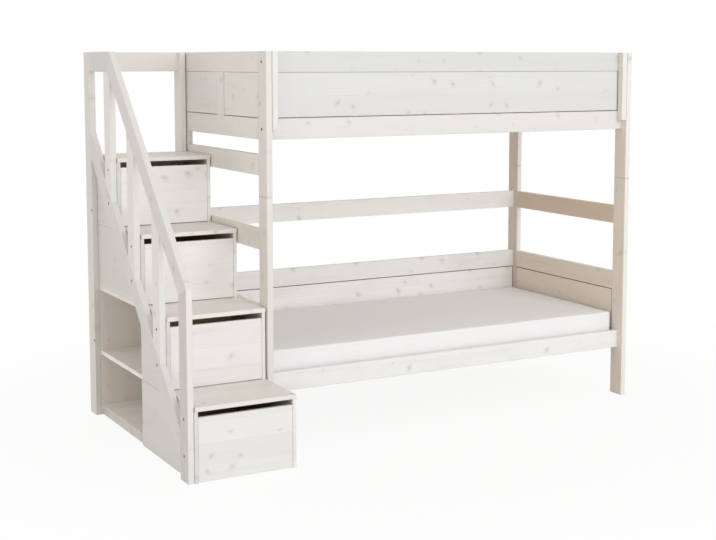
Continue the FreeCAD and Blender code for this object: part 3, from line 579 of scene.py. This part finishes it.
def foam_block(name, low, high):
    size = [high[side] - low[side] - 2 * swell for side in (0, 1)] + [high[2] - low[2] - swell]
    middle = [(high[side] + low[side]) / 2 for side in (0, 1)] + [low[2] + size[2] / 2]
    form = bmesh.new()
    bmesh.ops.create_cube(form, size=1.0)
    for vert in form.verts:
        vert.co = Vector([vert.co[side] * size[side] + middle[side] for side in range(3)])
    upright = [edge for edge in form.edges
               if abs((edge.verts[0].co - edge.verts[1].co).normalized().z) > 0.9]
    bmesh.ops.bevel(form, geom=upright, offset=corner_round, segments=5, profile=0.5, affect="EDGES")
    rims = [edge for edge in form.edges
            if len(edge.link_faces) == 2 and edge.calc_face_angle() > 1.0
            and abs(edge.link_faces[0].normal.z) + abs(edge.link_faces[1].normal.z) > 0.9]
    bmesh.ops.bevel(form, geom=rims, offset=rim_round, segments=3, profile=0.5, affect="EDGES")
    for side in range(3):
        cuts = max(2, round(size[side] / cover_cell))
        for cut in range(1, cuts):
            spot = [0.0, 0.0, 0.0]
            way = [0.0, 0.0, 0.0]
            spot[side] = middle[side] - size[side] / 2 + size[side] * cut / cuts
            way[side] = 1.0
            geometry = form.verts[:] + form.edges[:] + form.faces[:]
            bmesh.ops.bisect_plane(form, geom=geometry, dist=1e-6, plane_co=spot, plane_no=way)
    bmesh.ops.remove_doubles(form, verts=form.verts, dist=0.0008)
    bmesh.ops.recalc_face_normals(form, faces=form.faces)
    mesh = bpy.data.meshes.new(name)
    form.to_mesh(mesh)
    form.free()
    return placed(name, mesh)


def plumped(pad, resting):
    before = [vert.co.copy() for vert in pad.data.vertices]
    held = pad.vertex_groups.new(name="resting")
    held.add([index for index, place in enumerate(before) if place.z < resting], 1.0, "REPLACE")
    cloth = pad.modifiers.new("cover", "CLOTH")
    cloth.settings.vertex_group_mass = "resting"
    cloth.settings.use_pressure = True
    cloth.settings.uniform_pressure_force = 4.0
    cloth.settings.effector_weights.gravity = 0.0
    cloth.settings.quality = 4
    for step in range(1, filling_steps + 1):
        bpy.context.scene.frame_set(step)
    shaped = pad.evaluated_get(bpy.context.evaluated_depsgraph_get()).data
    after = [vert.co.copy() for vert in shaped.vertices]
    pad.modifiers.remove(cloth)
    pad.vertex_groups.clear()
    bpy.context.scene.frame_set(1)
    for vert, start, end in zip(pad.data.vertices, before, after):
        move = end - start
        if move.length > swell:
            move = move * (swell / move.length)
        vert.co = start + move


def sewing():
    inputs = {"Line": "Geometry", "Welt radius": "Float", "Stitch spacing": "Float", "Stitch size": "Vector",
              "Cloth": "Material"}
    tree, keys = new_tree("sewn_seam", "Geometry", inputs, {"Seam": "Geometry"})
    given = add(tree, "NodeGroupInput").outputs
    line = add(tree, "GeometryNodeMeshToCurve", {0: given["Line"]}).outputs[0]
    cord = {"Resolution": 6, "Radius": given["Welt radius"]}
    ring = add(tree, "GeometryNodeCurvePrimitiveCircle", cord).outputs[0]
    welt = add(tree, "GeometryNodeCurveToMesh", {"Curve": line, "Profile Curve": ring}).outputs[0]
    apart = {"Curve": line, "Length": given["Stitch spacing"]}
    spots = add(tree, "GeometryNodeCurveToPoints", apart, mode="LENGTH").outputs
    bead = add(tree, "GeometryNodeMeshUVSphere", {"Segments": 6, "Rings": 4, "Radius": 1.0}).outputs[0]
    each = {"Points": spots["Points"], "Instance": bead, "Rotation": spots["Rotation"],
            "Scale": given["Stitch size"]}
    stitches = add(tree, "GeometryNodeInstanceOnPoints", each).outputs[0]
    join = add(tree, "GeometryNodeJoinGeometry")
    tree.links.new(stitches, join.inputs[0])
    tree.links.new(welt, join.inputs[0])
    realised(tree, join.outputs[0], given["Cloth"], "Seam")
    return tree, keys


def border_line(pad, height, count):
    corner_reach = 0.06
    places = [vert.co for vert in pad.data.vertices]
    skin = BVHTree.FromPolygons(places, [face.vertices for face in pad.data.polygons])
    low = [min(place[side] for place in places) for side in (0, 1)]
    high = [max(place[side] for place in places) for side in (0, 1)]
    centre = Vector(((low[0] + high[0]) / 2, (low[1] + high[1]) / 2, height))
    half = [(high[side] - low[side]) / 2 for side in (0, 1)]
    points = []
    for step in range(count):
        walk = 4 * (half[0] + half[1]) * step / count
        for side, way in ((0, 1), (1, 1), (0, -1), (1, -1)):
            if walk <= 2 * half[side]:
                break
            walk -= 2 * half[side]
        reach = (walk - half[side]) * way
        spot = (reach, -way * half[1]) if side == 0 else (way * half[0], reach)
        kept = [max(corner_reach - limit, min(limit - corner_reach, value))
                for limit, value in zip(half, spot)]
        inner = centre + Vector((*kept, 0.0))
        outer = centre + Vector((*spot, 0.0))
        found = skin.ray_cast(outer + (outer - inner) * 0.5, inner - outer)[0]
        if found:
            points.append(found)
    mesh = bpy.data.meshes.new("seam_line")
    mesh.from_pydata(points, [(step, (step + 1) % len(points)) for step in range(len(points))], [])
    return mesh


cover = cotton()
seam_tree, seam_keys = sewing()
seam_sizes = {"Welt radius": 0.0011, "Stitch spacing": 0.006, "Stitch size": (0.0007, 0.0007, 0.0021),
              "Cloth": cover}
seam_drop = 0.022
seam_points = 360
held_height = 0.004
ripples = ((3.1, 0.0016), (11.0, 0.0007))
sunk = 0.0015
low, high = (Vector(corner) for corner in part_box("lower_mattress"))
lower_pad = foam_block("lower_mattress_cover", low - fuller, high + fuller)
plumped(lower_pad, low[2] + held_height)
upper_pad = placed("upper_mattress_cover", lower_pad.data.copy())
upper_pad.data.transform(Matrix.Translation(Vector(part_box("upper_mattress")[0]) - low))
for bed, pad in (("lower", lower_pad), ("upper", upper_pad)):
    low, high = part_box(bed + "_mattress")
    for vert in pad.data.vertices:
        lift = (vert.co.z - low[2]) / (high[2] - low[2])
        sway = sum(noise.noise(vert.co * often) * depth for often, depth in ripples)
        vert.co.z += lift * (sway - sunk)
    soft = pad.modifiers.new("soft", "SUBSURF")
    soft.levels = 1
    soft.render_levels = 1
    smooth = settled(pad)
    smooth.materials.clear()
    smooth.materials.append(cover)
    smooth.shade_smooth()
    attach(pad, "frame")
    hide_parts(bed + "_mattress")
    border = border_line(pad, high[2] - seam_drop, seam_points)
    seam = made_by_nodes(bed + "_mattress_seam", border, seam_tree, seam_keys, seam_sizes)
    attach(seam, "frame")


# Floor and light. A plain pale floor that runs out into white, a wide soft light from the front, a smaller
# one from the left and an even, slightly warm light from all round.
white = (1, 1, 1, 1)
floor_reach = 14


def background_share(tree):
    path = add(tree, "ShaderNodeLightPath").outputs
    seen = reckoned(tree, "MAXIMUM", path["Is Camera Ray"], path["Is Glossy Ray"])
    return reckoned(tree, "MAXIMUM", seen, path["Is Transmission Ray"])


def pale_floor():
    made, tree = new_material("pale_floor")
    tree.nodes.clear()
    lit = add(tree, "ShaderNodeBsdfDiffuse", {"Color": (0.90, 0.895, 0.885, 1)}).outputs[0]
    blank = add(tree, "ShaderNodeEmission", {"Color": white, "Strength": 1.0}).outputs[0]
    away = vectors(tree, "LENGTH", coordinates(tree))["Value"]
    share = overlap(tree, background_share(tree), eased(tree, away, 1.2, 3.2, 0.9, 1.0))
    mixed = add(tree, "ShaderNodeMixShader", {0: share, 1: lit, 2: blank}).outputs[0]
    add(tree, "ShaderNodeOutputMaterial", {"Surface": mixed})
    return made


ground = bpy.data.meshes.new("floor")
ground.from_pydata([(x * floor_reach, y * floor_reach, 0) for x, y in ((-1, -1), (1, -1), (1, 1), (-1, 1))],
                   [], [(0, 1, 2, 3)])
ground.materials.append(pale_floor())
floor = placed("floor", ground)

room = bpy.data.worlds.new("studio")
bpy.context.scene.world = room
room.use_nodes = True
walls = room.node_tree
walls.nodes.clear()
even = add(walls, "ShaderNodeBackground", {"Color": (1.0, 0.962, 0.912, 1), "Strength": 0.69}).outputs[0]
blank = add(walls, "ShaderNodeBackground", {"Color": white, "Strength": 1.0}).outputs[0]
mixed = add(walls, "ShaderNodeMixShader", {0: background_share(walls), 1: even, 2: blank}).outputs[0]
add(walls, "ShaderNodeOutputWorld", {"Surface": mixed})


def softbox(name, place, aim, width, height, power, colour):
    lamp = bpy.data.lights.new(name, "AREA")
    lamp.shape = "RECTANGLE"
    lamp.size = width
    lamp.size_y = height
    lamp.energy = power
    lamp.color = colour
    stand = placed(name, lamp)
    stand.location = place
    stand.rotation_euler = (Vector(aim) - Vector(place)).to_track_quat("-Z", "Y").to_euler()


bed_middle = (0.0, 0.0, 0.9)
softbox("front_light", place=(1.5, -10.2, 4.2), aim=bed_middle, width=8.0, height=6.0, power=452.0,
        colour=(0.92, 0.96, 1.0))
softbox("left_light", place=(-9.0, -2.6, 2.3), aim=bed_middle, width=5.0, height=4.0, power=118.0,
        colour=(1.0, 0.95, 0.89))


# Camera. A long lens level with the upper bed, in front of the staircase and to its left. It looks along
# the bed to the rear right corner and a little down, and its picture is shifted to hold the whole object.
pitch_down = 5.9155
turned_right = 28.8391
lens = bpy.data.cameras.new("camera")
lens.sensor_width = 36.0
lens.lens = 65.967
lens.shift_y = -0.1003
lens.clip_end = 60.0
camera = placed("camera", lens)
camera.location = (-3.2231, -5.6348, 1.7451)
camera.rotation_euler = (math.radians(90 - pitch_down), 0.0, math.radians(-turned_right))
bpy.context.scene.camera = camera
bpy.context.scene.view_settings.view_transform = "Standard"
